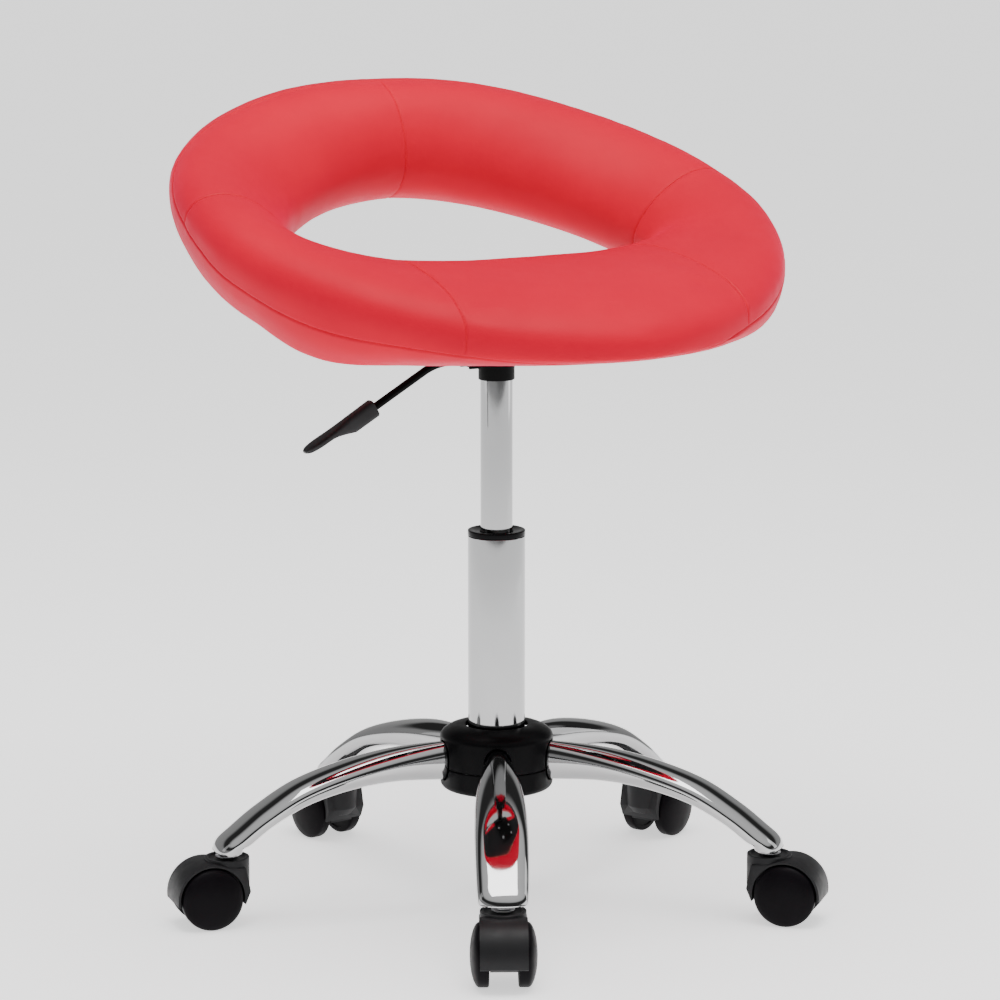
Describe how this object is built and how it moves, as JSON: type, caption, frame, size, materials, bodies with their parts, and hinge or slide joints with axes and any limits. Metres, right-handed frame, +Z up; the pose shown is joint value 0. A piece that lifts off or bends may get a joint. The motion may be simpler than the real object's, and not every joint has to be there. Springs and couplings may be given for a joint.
{
  "type": "adjustable swivel stool",
  "caption": "Swivel stool: ring-shaped red cushion seat rising to a low back, on a gas lift with a side lever, over a chrome star base with hooded twin-wheel castors.",
  "frame": {"origin": "on the floor, at the centre of the stool's overall box; the column axis stands at x = 9 mm, y = -8.5 mm", "axes": "+Z up; the seat faces -Y and its low back is towards +Y; +X is the sitter's left, and the lever points to -X"},
  "size_m": [0.4855, 0.4863, 0.6064],
  "materials": {
    "chrome": "polished chrome plate",
    "steel": "plain bright steel",
    "black_plastic": "satin black moulded plastic",
    "black_nylon": "matt black nylon",
    "black_paint": "black powder coat on steel",
    "plywood": "raw plywood",
    "black_felt": "thin black non-woven cloth",
    "red_leather": "smooth red leather with a slight sheen"
  },
  "bodies": {
    "base": {"leg_1": "chrome", "leg_2": "chrome", "leg_3": "chrome", "leg_4": "chrome", "leg_5": "chrome", "hub_core": "steel", "hub_upper_cover": "black_plastic", "hub_lower_cover": "black_plastic", "column_tube": "chrome", "column_top_ring": "black_plastic", "guide_sleeve": "black_nylon", "column_floor": "steel", "castor_stem_1": "steel", "castor_stem_2": "steel", "castor_stem_3": "steel", "castor_stem_4": "steel", "castor_stem_5": "steel"},
    "lift_rod": {"thrust_bearing": "steel", "piston_rod": "steel", "retaining_clip": "steel", "piston": "black_nylon"},
    "seat": {"gas_cylinder": "chrome", "rod_guide": "black_nylon", "seat_socket": "black_paint", "seat_plate": "black_paint", "plate_bolt_1": "steel", "plate_bolt_2": "steel", "plate_bolt_3": "steel", "plate_bolt_4": "steel", "lever_bracket": "black_paint", "lever_pivot_pin": "steel", "seat_board": "plywood", "dust_cover": "black_felt", "cushion": "red_leather"},
    "lever": {"lever_rod": "black_paint", "lever_grip": "black_plastic"},
    "release_pin": {"release_pin": "steel"},
    "castor_1": {"castor_housing_1": "black_plastic", "castor_axle_1": "steel"},
    "wheel_1a": {"castor_wheel_1a": "black_nylon"},
    "wheel_1b": {"castor_wheel_1b": "black_nylon"},
    "castor_2": {"castor_housing_2": "black_plastic", "castor_axle_2": "steel"},
    "wheel_2a": {"castor_wheel_2a": "black_nylon"},
    "wheel_2b": {"castor_wheel_2b": "black_nylon"},
    "castor_3": {"castor_housing_3": "black_plastic", "castor_axle_3": "steel"},
    "wheel_3a": {"castor_wheel_3a": "black_nylon"},
    "wheel_3b": {"castor_wheel_3b": "black_nylon"},
    "castor_4": {"castor_housing_4": "black_plastic", "castor_axle_4": "steel"},
    "wheel_4a": {"castor_wheel_4a": "black_nylon"},
    "wheel_4b": {"castor_wheel_4b": "black_nylon"},
    "castor_5": {"castor_housing_5": "black_plastic", "castor_axle_5": "steel"},
    "wheel_5a": {"castor_wheel_5a": "black_nylon"},
    "wheel_5b": {"castor_wheel_5b": "black_nylon"}
  },
  "joints": [
    {"name": "seat_swivel", "type": "hinge", "parent": "base", "child": "lift_rod", "pos_m": [0.009, -0.0085, 0.1], "axis": [0, 0, 1], "continuous": true},
    {"name": "seat_lift", "type": "slide", "parent": "lift_rod", "child": "seat", "axis": [0, 0, 1], "range_m": [-0.055, 0.055]},
    {"name": "lever_pull", "type": "hinge", "parent": "seat", "child": "lever", "pos_m": [-0.013, -0.0085, 0.413], "axis": [0, 1, 0], "range_deg": [0, 8], "stiffness_Nm_per_rad": 0.3, "springref_deg": -11.46},
    {"name": "release_press", "type": "slide", "parent": "seat", "child": "release_pin", "axis": [0, 0, -1], "range_m": [0, 0.0032]},
    {"name": "castor_swivel_1", "type": "hinge", "parent": "base", "child": "castor_1", "pos_m": [-0.08603, -0.19745, 0.045], "axis": [0, 0, 1], "continuous": true},
    {"name": "wheel_spin_1a", "type": "hinge", "parent": "castor_1", "child": "wheel_1a", "pos_m": [-0.093, -0.2113, 0.023], "axis": [0.8934, -0.4493, 0], "continuous": true},
    {"name": "wheel_spin_1b", "type": "hinge", "parent": "castor_1", "child": "wheel_1b", "pos_m": [-0.093, -0.2113, 0.023], "axis": [0.8934, -0.4493, 0], "continuous": true},
    {"name": "castor_swivel_2", "type": "hinge", "parent": "base", "child": "castor_2", "pos_m": [0.15933, -0.15727, 0.045], "axis": [0, 0, 1], "continuous": true},
    {"name": "wheel_spin_2a", "type": "hinge", "parent": "castor_2", "child": "wheel_2a", "pos_m": [0.17035, -0.16817, 0.023], "axis": [0.7034, 0.7108, 0], "continuous": true},
    {"name": "wheel_spin_2b", "type": "hinge", "parent": "castor_2", "child": "wheel_2b", "pos_m": [0.17035, -0.16817, 0.023], "axis": [0.7034, 0.7108, 0], "continuous": true},
    {"name": "castor_swivel_3", "type": "hinge", "parent": "base", "child": "castor_3", "pos_m": [0.19694, 0.0885, 0.045], "axis": [0, 0, 1], "continuous": true},
    {"name": "wheel_spin_3a", "type": "hinge", "parent": "castor_3", "child": "wheel_3a", "pos_m": [0.21072, 0.09561, 0.023], "axis": [-0.4587, 0.8886, 0], "continuous": true},
    {"name": "wheel_spin_3b", "type": "hinge", "parent": "castor_3", "child": "wheel_3b", "pos_m": [0.21072, 0.09561, 0.023], "axis": [-0.4587, 0.8886, 0], "continuous": true},
    {"name": "castor_swivel_4", "type": "hinge", "parent": "base", "child": "castor_4", "pos_m": [-0.02518, 0.20022, 0.045], "axis": [0, 0, 1], "continuous": true},
    {"name": "wheel_spin_4a", "type": "hinge", "parent": "castor_4", "child": "wheel_4a", "pos_m": [-0.02768, 0.21552, 0.023], "axis": [-0.9869, -0.1616, 0], "continuous": true},
    {"name": "wheel_spin_4b", "type": "hinge", "parent": "castor_4", "child": "wheel_4b", "pos_m": [-0.02768, 0.21552, 0.023], "axis": [-0.9869, -0.1616, 0], "continuous": true},
    {"name": "castor_swivel_5", "type": "hinge", "parent": "base", "child": "castor_5", "pos_m": [-0.20007, 0.02349, 0.045], "axis": [0, 0, 1], "continuous": true},
    {"name": "wheel_spin_5a", "type": "hinge", "parent": "castor_5", "child": "wheel_5a", "pos_m": [-0.21539, 0.02584, 0.023], "axis": [-0.1513, -0.9885, 0], "continuous": true},
    {"name": "wheel_spin_5b", "type": "hinge", "parent": "castor_5", "child": "wheel_5b", "pos_m": [-0.21539, 0.02584, 0.023], "axis": [-0.1513, -0.9885, 0], "continuous": true}
  ],
  "couplings": [
    {"joint": "release_press", "follows": "lever_pull", "m_per_rad": 0.022}
  ]
}
